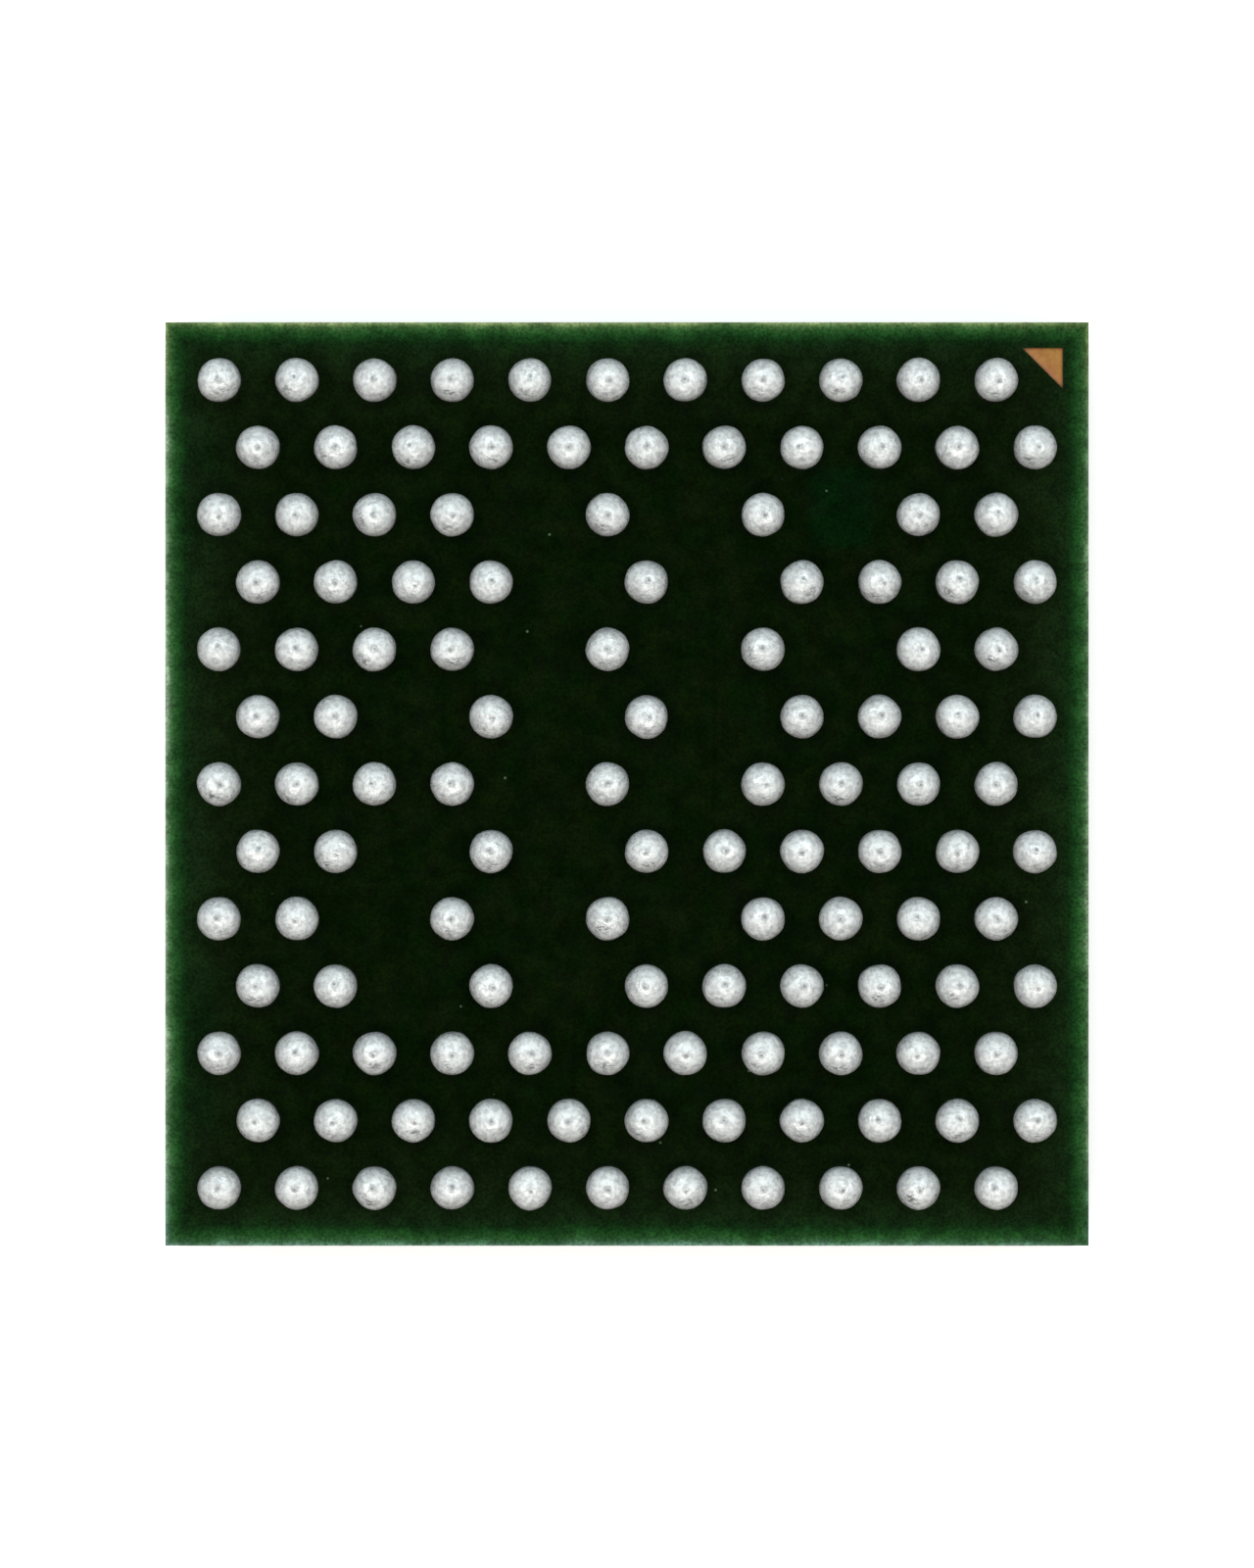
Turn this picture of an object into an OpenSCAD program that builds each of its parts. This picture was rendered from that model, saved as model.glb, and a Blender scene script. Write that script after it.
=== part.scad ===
// Ball grid array chip: a moulded, wire-bonded package that lies on its flat moulded face with its solder balls up.
// The origin is the middle of that flat face. +Z points out of the ball side, and the A1 corner is at +X +Y.
// All sizes are in millimetres.

/* [Body] */
// Side of the square body, sawn through mould and laminate together
body_w = 5.95; // [5.85:0.05:7]
// Thickness of the mould cap, from its flat face to the laminate
mould_t = 0.53; // [0.5:0.01:0.8]

/* [Laminate] */
// Thickness of the glass-filled core
core_t = 0.12; // [0.06:0.01:0.3]
// Thickness of each copper layer
copper_t = 0.015; // [0.01:0.001:0.03]
// Thickness of the solder mask over the copper, on each side
mask_t = 0.02; // [0.012:0.001:0.04]
// Diameter of a plated-shut via
via_d = 0.06; // [0.04:0.005:0.07]
// Width of the copper ring around a via
via_ring = 0.025; // [0.015:0.005:0.03]
// Width of an etched trace
trace_w = 0.035; // [0.025:0.005:0.04]

/* [Ball grid] */
// Distance between the middles of neighbouring balls
ball_pitch = 0.5; // [0.46:0.005:0.51]
// Diameter of a solder ball
ball_d = 0.28; // [0.26:0.005:0.32]
// Diameter of the mask opening that a ball sits in
opening_d = 0.24; // [0.18:0.005:0.25]
// How far the mask laps over the rim of a land
land_lap = 0.03; // [0.01:0.005:0.035]

/* [Corner mark] */
// Length of the two short sides of the bare copper triangle
mark_leg = 0.265; // [0.15:0.005:0.28]
// Distance from the triangle to the two nearest edges of the body
mark_inset = 0.165; // [0.12:0.005:0.18]

/* [Die] */
// Size of the silicon die along X
die_w = 3; // [2.4:0.1:3.4]
// Size of the silicon die along Y
die_l = 2.8; // [2.4:0.1:3.4]
// Thickness of the silicon die
die_t = 0.15; // [0.1:0.01:0.18]
// Thickness of the film that holds the die
attach_t = 0.025; // [0.01:0.005:0.04]
// How far the copper flag stands out past the die
flag_margin = 0.1; // [0.05:0.01:0.2]

/* [Bond pads and wires] */
// Distance between neighbouring pads on the die
pad_pitch = 0.12; // [0.1:0.005:0.15]
// Side of a square pad
pad_w = 0.07; // [0.055:0.005:0.08]
// Thickness of the pad metal
pad_t = 0.004; // [0.002:0.001:0.006]
// Distance from the edge of the die to the middle of the pads
pad_inset = 0.07; // [0.05:0.01:0.1]
// Diameter of a bond wire
wire_d = 0.02; // [0.015:0.001:0.025]
// Height of a wire loop over the face of the die
loop_h = 0.1; // [0.06:0.01:0.12]
// Diameter of the ball that joins a wire to its pad
bond_d = 0.045; // [0.035:0.005:0.05]
// Height of the ball bond, and of the stitch at the other end
bond_h = 0.016; // [0.014:0.001:0.02]

/* [Bond fingers] */
// Distance between neighbouring fingers
finger_pitch = 0.17; // [0.15:0.005:0.2]
// Width of a finger
finger_w = 0.1; // [0.08:0.005:0.12]
// Length of the bare part of a finger, where the wire lands
finger_len = 0.2; // [0.15:0.01:0.25]
// Length of the covered part of a finger, over its via
finger_tail = 0.16; // [0.14:0.01:0.2]
// Distance from the edge of the die to the fingers
finger_gap = 0.35; // [0.3:0.01:0.4]
// Bare border around the fingers inside their window in the mask
window_margin = 0.03; // [0.02:0.005:0.04]

/* [Index dot] */
// Diameter of the laser-cut dot in the moulded face
dot_d = 1.05; // [0.8:0.05:1.2]
// Depth of the laser cut
dot_depth = 0.02; // [0.01:0.005:0.04]
// Distance from the middle of the dot to the +X side
dot_inset_x = 0.98; // [0.8:0.01:1.2]
// Distance from the middle of the dot to the +Y side
dot_inset_y = 0.91; // [0.8:0.01:1.2]
// Width of the plain ring around the uncut lines
dot_ring = 0.06; // [0.04:0.01:0.1]
// Distance between the uncut lines
hatch_pitch = 0.08; // [0.06:0.005:0.12]
// Width of an uncut line
hatch_w = 0.02; // [0.01:0.005:0.03]

/* [Hidden] */
// Smoothness of balls, lands and openings
$fn = 48;

// Ball places, row A at the +Y side first, each row from -X to +X: O is a ball and a dot is an empty place
BALL_MAP = [
    "OOOOOOOOOOO",
    "OOOOOOOOOOO",
    "OOOO.O.O.OO",
    "OOOO.O.OOOO",
    "OOOO.O.O.OO",
    "OO.O.O.OOOO",
    "OOOO.O.OOOO",
    "OO.O.OOOOOO",
    "OO.O.O.OOOO",
    "OO.O.OOOOOO",
    "OOOOOOOOOOO",
    "OOOOOOOOOOO",
    "OOOOOOOOOOO",
];
ROW_NODES = [for (letter = "abcdefghjklmn") str("ball_row_", letter)];
// The four sides of the die, anticlockwise from +X
SIDES = ["right", "back", "left", "front"];
WIRE_NODES = [for (side = SIDES) str("bond_wires_", side)];
FINGER_NODES = [for (side = SIDES) str("bond_fingers_", side)];

// Colours
MOULD = "#1c2022";
SILICON = "#5b6068";
FILM = "#b8a888";
ALUMINIUM = "#c9ccce";
GOLD = "#d2a84a";
COPPER = "#b07a45";
GLASS_EPOXY = "#7f8f5a";
MASK = "#0b2a10";
SOLDER = "#d6d9da";

// Heights of the layers over the moulded face
inner_copper_z = mould_t + mask_t;
core_z = inner_copper_z + copper_t;
outer_copper_z = core_z + core_t;
ball_face_z = outer_copper_z + copper_t + mask_t;
// The active face of the die looks down into the mould
active_z = mould_t - attach_t - die_t;

// Round details this small are drawn as polygons
WIRE_SIDES = 6;
VIA_SIDES = 8;

// Ball grid: the rows lie as close as balls in a honeycomb
row_pitch = ball_pitch * sin(60);
rows = len(BALL_MAP);
columns = len(BALL_MAP[0]);
land_d = opening_d + 2 * land_lap;
via_cap_d = via_d + 2 * via_ring;
// A ball's middle stands this far over the mask, so that the ball is as wide as its opening at the mask
ball_rise = sqrt(pow(ball_d / 2, 2) - pow(opening_d / 2, 2));

function ball_x(row, column) =
    (column - (columns - 1) / 2 + (row % 2 == 0 ? -1 : 1) / 4) * ball_pitch;
function ball_y(row) = ((rows - 1) / 2 - row) * row_pitch;
function row_balls(row) =
    [for (column = [0 : columns - 1]) if (BALL_MAP[row][column] == "O") [ball_x(row, column), ball_y(row)]];
BALLS = [for (row = [0 : rows - 1]) each row_balls(row)];

// Vias that join the lands under the die to the flag, each between three lands
flag_w = die_w + 2 * flag_margin;
flag_l = die_l + 2 * flag_margin;
via_hop = ball_pitch / (2 * cos(30));
function flag_via(ball) = [ball.x, ball.y + (ball.y < 0 ? via_hop : -via_hop)];
function on_flag(via) =
    abs(via.x) < (flag_w - via_cap_d) / 2 && abs(via.y) < (flag_l - via_cap_d) / 2;
FLAG_BALLS = [for (ball = BALLS) if (on_flag(flag_via(ball))) ball];
FLAG_VIAS = [for (ball = FLAG_BALLS) flag_via(ball)];

// Places along one side of the die: "out" points away from the die and "along" runs beside it
function on_side(side, out, along) = [
    out * cos(90 * side) - along * sin(90 * side),
    out * sin(90 * side) + along * cos(90 * side)
];
function die_out(side) = (side % 2 == 0 ? die_w : die_l) / 2;
function die_along(side) = side % 2 == 0 ? die_l : die_w;
// As many wires as there is room for, both on the die and in the row of fingers
function wire_count(side) = 1 + min(
    floor((die_along(side) - 2 * (pad_inset + pad_pitch)) / pad_pitch),
    floor((die_along(side) + 2 * (finger_gap - window_margin) - finger_w) / finger_pitch)
);
function wire_numbers(side) = [0 : wire_count(side) - 1];
function step_along(side, number, pitch) = (number - (wire_count(side) - 1) / 2) * pitch;
function finger_in(side) = die_out(side) + finger_gap;
function pad_place(side, number) =
    on_side(side, die_out(side) - pad_inset, step_along(side, number, pad_pitch));
function finger_place(side, number, out) = on_side(side, out, step_along(side, number, finger_pitch));
function finger_via(side, number) =
    finger_place(side, number, finger_in(side) + finger_len + finger_tail - via_cap_d / 2);
FINGER_VIAS = [for (side = [0 : 3]) for (number = wire_numbers(side)) finger_via(side, number)];

function nearest_ball(place) =
    let (distances = [for (ball = BALLS) norm(ball - place)])
    BALLS[search(min(distances), distances)[0]];

// A flat strip from one point to another
module strip(from, to, width) {
    run = to - from;
    translate(from) rotate(atan2(run.y, run.x)) translate([0, -width / 2]) square([norm(run), width]);
}

// A straight rod from one point to another
module rod(from, to, diameter) {
    run = to - from;
    translate(from)
        rotate([0, acos(run.z / norm(run)), atan2(run.y, run.x)])
            cylinder(h = norm(run), d = diameter, $fn = WIRE_SIDES);
}

module body_outline() {
    square(body_w, center = true);
}

module layer(z, thickness) {
    translate([0, 0, z]) linear_extrude(thickness) children();
}

module via_caps(vias) {
    for (via = vias) translate(via) circle(d = via_cap_d, $fn = VIA_SIDES);
}

module vias(places, z, height) {
    for (place = places) translate([place.x, place.y, z]) cylinder(h = height, d = via_d, $fn = VIA_SIDES);
}

module flag_outline() {
    square([flag_w, flag_l], center = true);
}

// Bond fingers of one side
module finger_outlines(side) {
    for (number = wire_numbers(side))
        strip(
            finger_place(side, number, finger_in(side)),
            finger_place(side, number, finger_in(side) + finger_len + finger_tail),
            finger_w
        );
}

// Window in the inner mask that leaves one side's fingers bare where the wires land
module finger_window(side) {
    half = (wire_count(side) - 1) * finger_pitch / 2 + finger_w / 2 + window_margin;
    rotate(90 * side)
        translate([finger_in(side) - window_margin, -half])
            square([window_margin + finger_len, 2 * half]);
}

module finger_windows() {
    for (side = [0 : 3]) finger_window(side);
}

module inner_copper_outlines() {
    flag_outline();
    for (side = [0 : 3]) finger_outlines(side);
}

// Lands, and the traces that join them to the vias
module land_outlines() {
    for (ball = BALLS) translate(ball) circle(d = land_d);
    for (ball = FLAG_BALLS) strip(ball, flag_via(ball), trace_w);
    for (via = FINGER_VIAS) strip(via, nearest_ball(via), trace_w);
    via_caps(concat(FLAG_VIAS, FINGER_VIAS));
}

module openings() {
    for (ball = BALLS) translate(ball) circle(d = opening_d);
}

module mark_outline() {
    corner = body_w / 2 - mark_inset;
    polygon([[corner, corner], [corner - mark_leg, corner], [corner, corner - mark_leg]]);
}

// One wire: a ball bond on the pad, a riser, a flat span, a slope, and a stitch on the finger
module wire(side, number) {
    start = pad_place(side, number);
    end = finger_place(side, number, finger_in(side) + finger_len / 2);
    run = end - start;
    knee = start + 0.4 * run;
    loop_z = active_z - loop_h;
    bond_z = active_z - pad_t - bond_h;
    stitch_z = inner_copper_z - bond_h;
    top = [start.x, start.y, loop_z];
    shoulder = [knee.x, knee.y, loop_z + wire_d / 2];
    translate([start.x, start.y, bond_z]) cylinder(h = bond_h, d = bond_d, $fn = WIRE_SIDES);
    rod([start.x, start.y, bond_z + bond_h / 2], top - [0, 0, wire_d / 2], wire_d);
    rod(top, shoulder, wire_d);
    rod(shoulder, [end.x, end.y, inner_copper_z - wire_d / 2], wire_d);
    translate([end.x, end.y, stitch_z])
        rotate(atan2(run.y, run.x))
            translate([-bond_d, -bond_d / 2, 0])
                cube([2 * bond_d, bond_d, bond_h]);
}

module bond_wires(side) {
    color(GOLD) for (number = wire_numbers(side)) wire(side, number);
}

module bond_fingers(side) {
    color(COPPER) layer(inner_copper_z, copper_t) finger_outlines(side);
}

module die() {
    color(SILICON) layer(active_z, die_t) square([die_w, die_l], center = true);
}

module die_attach() {
    color(FILM) layer(mould_t - attach_t, attach_t) square([die_w, die_l], center = true);
}

module die_pads() {
    color(ALUMINIUM)
        for (side = [0 : 3])
            for (number = wire_numbers(side))
                layer(active_z - pad_t, pad_t) translate(pad_place(side, number)) square(pad_w, center = true);
}

module die_flag() {
    color(COPPER) layer(inner_copper_z, copper_t) flag_outline();
}

module finger_vias() {
    color(COPPER) vias(FINGER_VIAS, core_z, core_t);
}

module flag_vias() {
    color(COPPER) vias(FLAG_VIAS, core_z, core_t);
}

// Solder mask under the mould: it lies over the copper and fills the gaps in it
module inner_mask() {
    color(MASK) {
        layer(mould_t, mask_t) difference() {
            body_outline();
            finger_windows();
        }
        layer(inner_copper_z, copper_t) difference() {
            body_outline();
            finger_windows();
            inner_copper_outlines();
        }
    }
}

module laminate_core() {
    color(GLASS_EPOXY) difference() {
        layer(core_z, core_t) body_outline();
        vias(concat(FINGER_VIAS, FLAG_VIAS), core_z - core_t / 2, 2 * core_t);
    }
}

module ball_lands() {
    color(COPPER) layer(outer_copper_z, copper_t) land_outlines();
}

module outer_mask() {
    color(MASK) {
        layer(outer_copper_z, copper_t) difference() {
            body_outline();
            land_outlines();
            mark_outline();
        }
        layer(outer_copper_z + copper_t, mask_t) difference() {
            body_outline();
            openings();
            mark_outline();
        }
    }
}

module corner_mark() {
    color(COPPER) layer(outer_copper_z, copper_t) mark_outline();
}

// A ball: a round head over the mask, and a plug that fills the opening down to the land
module ball() {
    intersection() {
        translate([0, 0, ball_rise]) sphere(d = ball_d);
        linear_extrude(2 * ball_d) square(2 * ball_d, center = true);
    }
    translate([0, 0, -mask_t]) cylinder(h = mask_t, d = opening_d);
}

module ball_row(row) {
    color(SOLDER) for (place = row_balls(row)) translate([place.x, place.y, ball_face_z]) ball();
}

// The index dot: a shallow laser cut, crossed by lines that the laser leaves uncut
module index_dot() {
    field_d = dot_d - 2 * dot_ring;
    lines = floor((field_d / 2 - hatch_w) / hatch_pitch);
    translate([body_w / 2 - dot_inset_x, body_w / 2 - dot_inset_y, -dot_depth])
        linear_extrude(2 * dot_depth)
            difference() {
                circle(d = dot_d);
                for (line = [-lines : lines]) {
                    length = 2 * sqrt(pow(field_d / 2, 2) - pow(line * hatch_pitch, 2));
                    translate([line * hatch_pitch, 0]) square([hatch_w, length], center = true);
                }
            }
}

// The mould flows round the die and the wires, and through the windows down to the core
module mould_cap() {
    color(MOULD) difference() {
        union() {
            layer(0, mould_t) body_outline();
            layer(mould_t, mask_t) finger_windows();
            layer(inner_copper_z, copper_t) difference() {
                finger_windows();
                for (side = [0 : 3]) finger_outlines(side);
            }
        }
        die();
        die_attach();
        die_pads();
        for (side = [0 : 3]) bond_wires(side);
        index_dot();
    }
}

mould_cap();
die();
die_attach();
die_pads();
for (side = [0 : 3]) bond_wires(side);
for (side = [0 : 3]) bond_fingers(side);
die_flag();
finger_vias();
flag_vias();
inner_mask();
laminate_core();
ball_lands();
outer_mask();
corner_mark();
for (row = [0 : rows - 1]) ball_row(row);
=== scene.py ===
"""Dresses a ball grid array chip that lies on its moulded face with its solder balls up.

Distances are metres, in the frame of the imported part, unless a docstring says millimetres: +Z points out of the
ball side, and the A1 corner is at +X +Y. Texture scales are counts of features in a metre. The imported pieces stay
where they are and get their finishes here. The rows of balls are modelled anew, with the dents, the test mark on
each crest and the crinkled skin that reflowed solder has.
"""
import logging
import math
import random
from dataclasses import dataclass, field
from enum import Enum
from typing import ClassVar

import bmesh
import bpy
from mathutils import Matrix, Vector, noise


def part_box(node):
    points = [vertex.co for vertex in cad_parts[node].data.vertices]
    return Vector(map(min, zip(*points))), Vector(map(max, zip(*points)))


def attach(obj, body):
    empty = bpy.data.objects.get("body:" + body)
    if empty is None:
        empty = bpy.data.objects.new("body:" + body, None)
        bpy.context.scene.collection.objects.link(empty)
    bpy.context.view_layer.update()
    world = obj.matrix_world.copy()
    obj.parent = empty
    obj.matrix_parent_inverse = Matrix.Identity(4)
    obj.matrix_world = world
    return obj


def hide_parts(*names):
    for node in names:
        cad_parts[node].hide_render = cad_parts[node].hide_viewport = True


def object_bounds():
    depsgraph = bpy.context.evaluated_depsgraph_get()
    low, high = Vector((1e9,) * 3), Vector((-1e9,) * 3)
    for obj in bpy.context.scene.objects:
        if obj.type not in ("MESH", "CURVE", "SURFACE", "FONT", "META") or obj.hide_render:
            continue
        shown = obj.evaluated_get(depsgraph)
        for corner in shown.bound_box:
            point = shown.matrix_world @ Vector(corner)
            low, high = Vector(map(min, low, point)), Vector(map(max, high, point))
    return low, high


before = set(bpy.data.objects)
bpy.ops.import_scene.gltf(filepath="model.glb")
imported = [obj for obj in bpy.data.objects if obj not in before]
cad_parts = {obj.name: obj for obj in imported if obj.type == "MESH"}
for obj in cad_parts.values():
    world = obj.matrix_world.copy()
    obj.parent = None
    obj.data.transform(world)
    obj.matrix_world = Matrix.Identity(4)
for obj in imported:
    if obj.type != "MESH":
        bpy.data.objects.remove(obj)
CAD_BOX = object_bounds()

log = logging.getLogger("bga_chip")

MM = 0.001
UM = 0.000001
BODY = "root"

Colour = tuple[float, float, float, float]
Socket = bpy.types.NodeSocket
Value = float | Colour | tuple[float, float, float] | Socket
Inputs = dict[str | int, Value]


def shade(red: int, green: int, blue: int) -> Colour:
    """Turns a screen colour into the linear colour that a shader takes.

    Args:
        red: Red, from 0 to 255.
        green: Green, from 0 to 255.
        blue: Blue, from 0 to 255.

    Returns:
        The linear red, green and blue, and a full alpha.
    """
    parts = [level / 255 for level in (red, green, blue)]
    linear = [part / 12.92 if part <= 0.04045 else ((part + 0.055) / 1.055) ** 2.4 for part in parts]
    return (linear[0], linear[1], linear[2], 1.0)


BLACK = shade(0, 0, 0)
WHITE = shade(255, 255, 255)


class Graph:
    """A node tree, with short calls that add a node and return the socket that it puts out."""

    def __init__(self, tree: bpy.types.NodeTree) -> None:
        """Takes the tree that the calls add to."""
        self.tree = tree

    def feed(self, socket: Socket, value: Value) -> None:
        """Links a socket, or sets its own value.

        Args:
            socket: The input to feed.
            value: Another node's output, or a plain number or colour.
        """
        if isinstance(value, Socket):
            self.tree.links.new(value, socket)
        else:
            socket.default_value = value

    def node(self, kind: str, settings: dict[str, object] | None = None,
             inputs: Inputs | None = None) -> bpy.types.Node:
        """Adds a node.

        Args:
            kind: Blender's name for the type of node.
            settings: Properties of the node.
            inputs: Its input sockets, by name or number, with what feeds them.

        Returns:
            The new node.
        """
        made = self.tree.nodes.new(kind)
        for name, setting in (settings or {}).items():
            setattr(made, name, setting)
        for name, value in (inputs or {}).items():
            self.feed(made.inputs[name], value)
        return made

    def place(self) -> Socket:
        """Returns the place on the piece, in metres."""
        return self.node("ShaderNodeTexCoord").outputs["Object"]

    def axes(self) -> bpy.types.NodeOutputs:
        """Returns the X, Y and Z of the place on the piece, in millimetres."""
        return self.node("ShaderNodeSeparateXYZ", inputs={0: self.shaded(self.place(), 1 / MM)}).outputs

    def facing(self) -> Socket:
        """Returns how much the surface faces up or down: 1 on a level face and 0 on an upright one."""
        normal = self.node("ShaderNodeTexCoord").outputs["Normal"]
        return self.math("ABSOLUTE", self.node("ShaderNodeSeparateXYZ", inputs={0: normal}).outputs["Z"])

    def attribute(self, name: str) -> Socket:
        """Returns the number that the mesh keeps at each point under a name."""
        return self.node("ShaderNodeAttribute", {"attribute_name": name}).outputs["Fac"]

    def math(self, operation: str, first: Value, second: Value = 0.0, clamp: bool = False) -> Socket:
        """Returns the result of a Math node, kept between 0 and 1 where clamp is set."""
        made = self.node("ShaderNodeMath", {"operation": operation, "use_clamp": clamp}, {0: first, 1: second})
        return made.outputs[0]

    def times(self, first: Value, second: Value) -> Socket:
        """Returns the product of two numbers."""
        return self.math("MULTIPLY", first, second)

    def minus(self, first: Value, second: Value) -> Socket:
        """Returns the first number less the second."""
        return self.math("SUBTRACT", first, second)

    def remap(self, value: Value, low: float, high: float, to_low: float = 0.0, to_high: float = 1.0) -> Socket:
        """Stretches a range of numbers smoothly over another, and holds it at the ends.

        Args:
            value: The number.
            low: Where the range starts.
            high: Where the range ends.
            to_low: The result at the start.
            to_high: The result at the end.

        Returns:
            The stretched number.
        """
        made = self.node("ShaderNodeMapRange", {"interpolation_type": "SMOOTHSTEP"},
                         {"Value": value, "From Min": low, "From Max": high, "To Min": to_low, "To Max": to_high})
        return made.outputs["Result"]

    def mix(self, factor: Value, first: Value, second: Value, blend: str = "MIX") -> Socket:
        """Mixes two colours.

        Args:
            factor: 0 for the first colour and 1 for the second.
            first: The first colour.
            second: The second colour.
            blend: Blender's name for the way to mix them.

        Returns:
            The mixed colour.
        """
        made = self.node("ShaderNodeMix", {"data_type": "RGBA", "blend_type": blend}, {"Factor": factor})
        self.feed(made.inputs[6], first)
        self.feed(made.inputs[7], second)
        return made.outputs[2]

    def laid(self, under: Value, over: Value, mask: Value, strength: float) -> Socket:
        """Lays one colour over another where a mask is set, and at most to a given strength."""
        return self.mix(self.times(mask, strength), under, over)

    def noise(self, place: Value, scale: Value, detail: float = 3.0, roughness: float = 0.55) -> Socket:
        """Adds soft noise.

        Args:
            place: Where to read it.
            scale: How many features fit in a metre.
            detail: How many finer layers it has.
            roughness: How strong the finer layers are.

        Returns:
            The noise, around 0.5.
        """
        made = self.node("ShaderNodeTexNoise", None,
                         {"Vector": place, "Scale": scale, "Detail": detail, "Roughness": roughness})
        return made.outputs["Fac"]

    def stretch(self, place: Value, scale: tuple[float, float, float]) -> Socket:
        """Returns a place stretched by a factor along X, Y and Z."""
        return self.node("ShaderNodeMapping", None, {"Vector": place, "Scale": scale}).outputs["Vector"]

    def warp(self, place: Value, scale: float, reach: float) -> Socket:
        """Pushes places about, so that a pattern read there curves.

        Args:
            place: The place to push.
            scale: How many swirls fit in a metre.
            reach: How far a place moves at most, in metres.

        Returns:
            The pushed place.
        """
        swirl = self.node("ShaderNodeTexNoise", None, {"Vector": place, "Scale": scale, "Detail": 1.0})
        made = self.node("ShaderNodeVectorMath", {"operation": "MULTIPLY_ADD"},
                         {0: swirl.outputs["Color"], 1: (reach, reach, reach), 2: place})
        return made.outputs["Vector"]

    def shaded(self, colour: Value, level: Value) -> Socket:
        """Multiplies the three parts of a colour or a place by one number."""
        made = self.node("ShaderNodeVectorMath", {"operation": "SCALE"}, {0: colour, "Scale": level})
        return made.outputs["Vector"]

    def bump(self, height: Value, distance: float) -> Socket:
        """Turns a height of 0 to 1 into a normal. A height of 1 stands for a distance in metres."""
        made = self.node("ShaderNodeBump", None, {"Height": height, "Distance": distance, "Strength": 1.0})
        return made.outputs["Normal"]

    def effect(self, effect: "type[Effect]", **inputs: Value) -> Socket:
        """Places a shared effect. The underscores in the names of its inputs stand for spaces."""
        named = {name.replace("_", " "): value for name, value in inputs.items()}
        return self.node("ShaderNodeGroup", {"node_tree": effect.tree()}, named).outputs[0]


class Effect:
    """A node group that several finishes use, with one output. Its tree is built at its first use."""

    title: ClassVar[str]
    inputs: ClassVar[dict[str, float | Colour]]
    output: ClassVar[str]

    @classmethod
    def tree(cls) -> bpy.types.NodeTree:
        """Finds or builds the group.

        Returns:
            The group's tree.
        """
        if cls.title in bpy.data.node_groups:
            return bpy.data.node_groups[cls.title]
        tree = bpy.data.node_groups.new(cls.title, "ShaderNodeTree")
        for name, default in cls.inputs.items():
            kind = "NodeSocketColor" if isinstance(default, tuple) else "NodeSocketFloat"
            tree.interface.new_socket(name, in_out="INPUT", socket_type=kind).default_value = default
        kind = "NodeSocketColor" if cls.output == "Colour" else "NodeSocketFloat"
        tree.interface.new_socket(cls.output, in_out="OUTPUT", socket_type=kind)
        graph = Graph(tree)
        result = cls.wire(graph, graph.node("NodeGroupInput").outputs)
        graph.node("NodeGroupOutput", inputs={cls.output: result})
        return tree

    @classmethod
    def wire(cls, graph: Graph, given: bpy.types.NodeOutputs) -> Socket:
        """Adds the nodes.

        Args:
            graph: The group's tree.
            given: The group's inputs.

        Returns:
            What the group puts out.
        """
        raise NotImplementedError


class Mottle(Effect):
    """Two colours that cloud into each other."""

    title = "mottle"
    inputs = {"First": BLACK, "Second": WHITE, "Scale": 4000.0, "Share": 0.5}
    output = "Colour"

    @classmethod
    def wire(cls, graph: Graph, given: bpy.types.NodeOutputs) -> Socket:
        """Adds the nodes.

        Args:
            graph: The group's tree.
            given: The group's inputs.

        Returns:
            The clouded colour.
        """
        clouds = graph.noise(graph.place(), given["Scale"], roughness=0.62)
        level = graph.math("ADD", clouds, graph.minus(given["Share"], 0.5))
        return graph.mix(graph.remap(level, 0.36, 0.64), given["First"], given["Second"])


class Grain(Effect):
    """The fine relief of a moulded or coated surface."""

    title = "grain"
    inputs = {"Scale": 60000.0}
    output = "Height"

    @classmethod
    def wire(cls, graph: Graph, given: bpy.types.NodeOutputs) -> Socket:
        """Adds the nodes.

        Args:
            graph: The group's tree.
            given: The group's inputs.

        Returns:
            The height, from 0 to 1.
        """
        place = graph.place()
        fine = graph.noise(place, given["Scale"], detail=2.0, roughness=0.65)
        coarse = graph.noise(place, graph.times(given["Scale"], 0.22), detail=0.0)
        return graph.times(graph.math("ADD", fine, coarse), 0.5)


class Specks(Effect):
    """Small separate flecks, such as cut filler grains or dust."""

    title = "specks"
    inputs = {"Scale": 20000.0, "Share": 0.1, "Size": 0.3}
    output = "Mask"

    @classmethod
    def wire(cls, graph: Graph, given: bpy.types.NodeOutputs) -> Socket:
        """Adds the nodes.

        Args:
            graph: The group's tree.
            given: The group's inputs.

        Returns:
            The mask of the flecks.
        """
        cells = graph.node("ShaderNodeTexVoronoi", None, {"Vector": graph.place(), "Scale": given["Scale"]})
        chance = graph.node("ShaderNodeSeparateColor", inputs={0: cells.outputs["Color"]}).outputs[0]
        chosen = graph.math("LESS_THAN", chance, given["Share"])
        away = graph.math("DIVIDE", cells.outputs["Distance"], given["Size"])
        near = graph.math("SUBTRACT", 1.0, away, clamp=True)
        return graph.times(chosen, graph.remap(near, 0.0, 0.6))


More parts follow.
